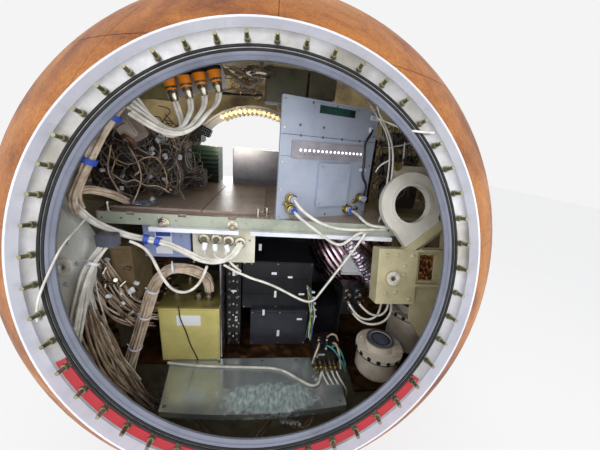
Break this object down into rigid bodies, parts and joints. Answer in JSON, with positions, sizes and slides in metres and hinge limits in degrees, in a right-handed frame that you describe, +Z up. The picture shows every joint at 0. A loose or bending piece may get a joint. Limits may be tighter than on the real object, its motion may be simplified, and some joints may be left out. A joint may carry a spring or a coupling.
{
  "type": "spherical return capsule",
  "caption": "Ball-shaped spacecraft return capsule with two open round hatches, bolted hatch rims and an equipped cabin.",
  "frame": {"origin": "lowest point of the ball, where it sits on its carrier ring", "axes": "+Z up through the ball and the parachute cover, -Y towards the front hatch, +X to the right seen from the front hatch"},
  "size_m": [2.26, 2.2076, 2.26],
  "materials": {
    "ablator": "satin varnished ablative composite",
    "rim_paint": "satin white enamel",
    "flange_metal": "machined, lightly oxidised",
    "stud_metal": "yellow passivated steel studs",
    "seal_rubber": "black rubber",
    "guard_red": "red protective strip",
    "cabin_paint": "cream enamel",
    "shelf_metal": "brushed sheet",
    "rail_paint": "white enamel",
    "unit_grey": "light blue-grey enamel",
    "unit_slate": "slate grey enamel",
    "unit_green": "dark green enamel",
    "unit_blue": "light blue enamel",
    "unit_cream": "cream enamel",
    "unit_olive": "khaki enamel",
    "unit_drab": "olive drab enamel",
    "unit_black": "black enamel",
    "unit_brown": "tan enamel",
    "bracket_paint": "grey-green primer",
    "plate_grey": "light grey enamel",
    "duct_metal": "polished thin sheet",
    "tray_metal": "polished sheet",
    "canister_paint": "white enamel",
    "connector_metal": "plated connector shells",
    "plug_orange": "orange moulded plastic",
    "cable_white": "white braided sleeve",
    "cable_beige": "beige laced cable"
  },
  "bodies": {
    "root": {"back_panel": "unit_black", "blue_unit": "unit_blue", "cabin_lamp": "connector_metal", "canister_front": "canister_paint", "canister_rear": "canister_paint", "connector_panel": "unit_cream", "control_unit": "unit_grey", "duct": "duct_metal", "equipment_shelf": "shelf_metal", "finned_unit": "unit_green", "front_flange": "flange_metal", "front_rim": "rim_paint", "front_seals": "seal_rubber", "front_studs": "stud_metal", "front_tray": "tray_metal", "grey_unit": "unit_slate", "hanging_cable": "cable_white", "heat_shield": "ablator", "lamp_strip": "unit_grey", "left_bracket": "plate_grey", "left_unit_back": "unit_black", "left_unit_front": "unit_black", "long_cable": "cable_white", "lower_deck": "unit_drab", "olive_connectors": "connector_metal", "olive_side_plate": "duct_metal", "olive_unit": "unit_olive", "panel_plate": "unit_grey", "parachute_cover": "ablator", "plug_bracket": "plate_grey", "plug_leads": "cable_white", "plugs": "plug_orange", "pressure_shell": "cabin_paint", "rack_column": "unit_black", "rear_flange": "flange_metal", "rear_rim": "rim_paint", "rear_seals": "seal_rubber", "rear_studs": "stud_metal", "right_bracket": "bracket_paint", "right_frame": "bracket_paint", "right_unit": "unit_black", "ring_bracket": "canister_paint", "shelf_cover": "shelf_metal", "shelf_gusset_left": "cabin_paint", "shelf_gusset_right": "cabin_paint", "shelf_harness": "cable_white", "shelf_rail": "rail_paint", "side_box": "unit_brown", "side_rack": "unit_drab", "side_unit": "unit_black", "slate_unit": "unit_slate", "stud_guard": "guard_red", "tank": "duct_metal", "tied_bundle": "cable_beige", "top_beam": "cabin_paint", "top_unit_left": "unit_drab", "top_unit_right": "unit_drab", "tray_junction": "unit_black", "unit_leads": "cable_white", "upper_unit": "unit_black"}
  },
  "joints": []
}
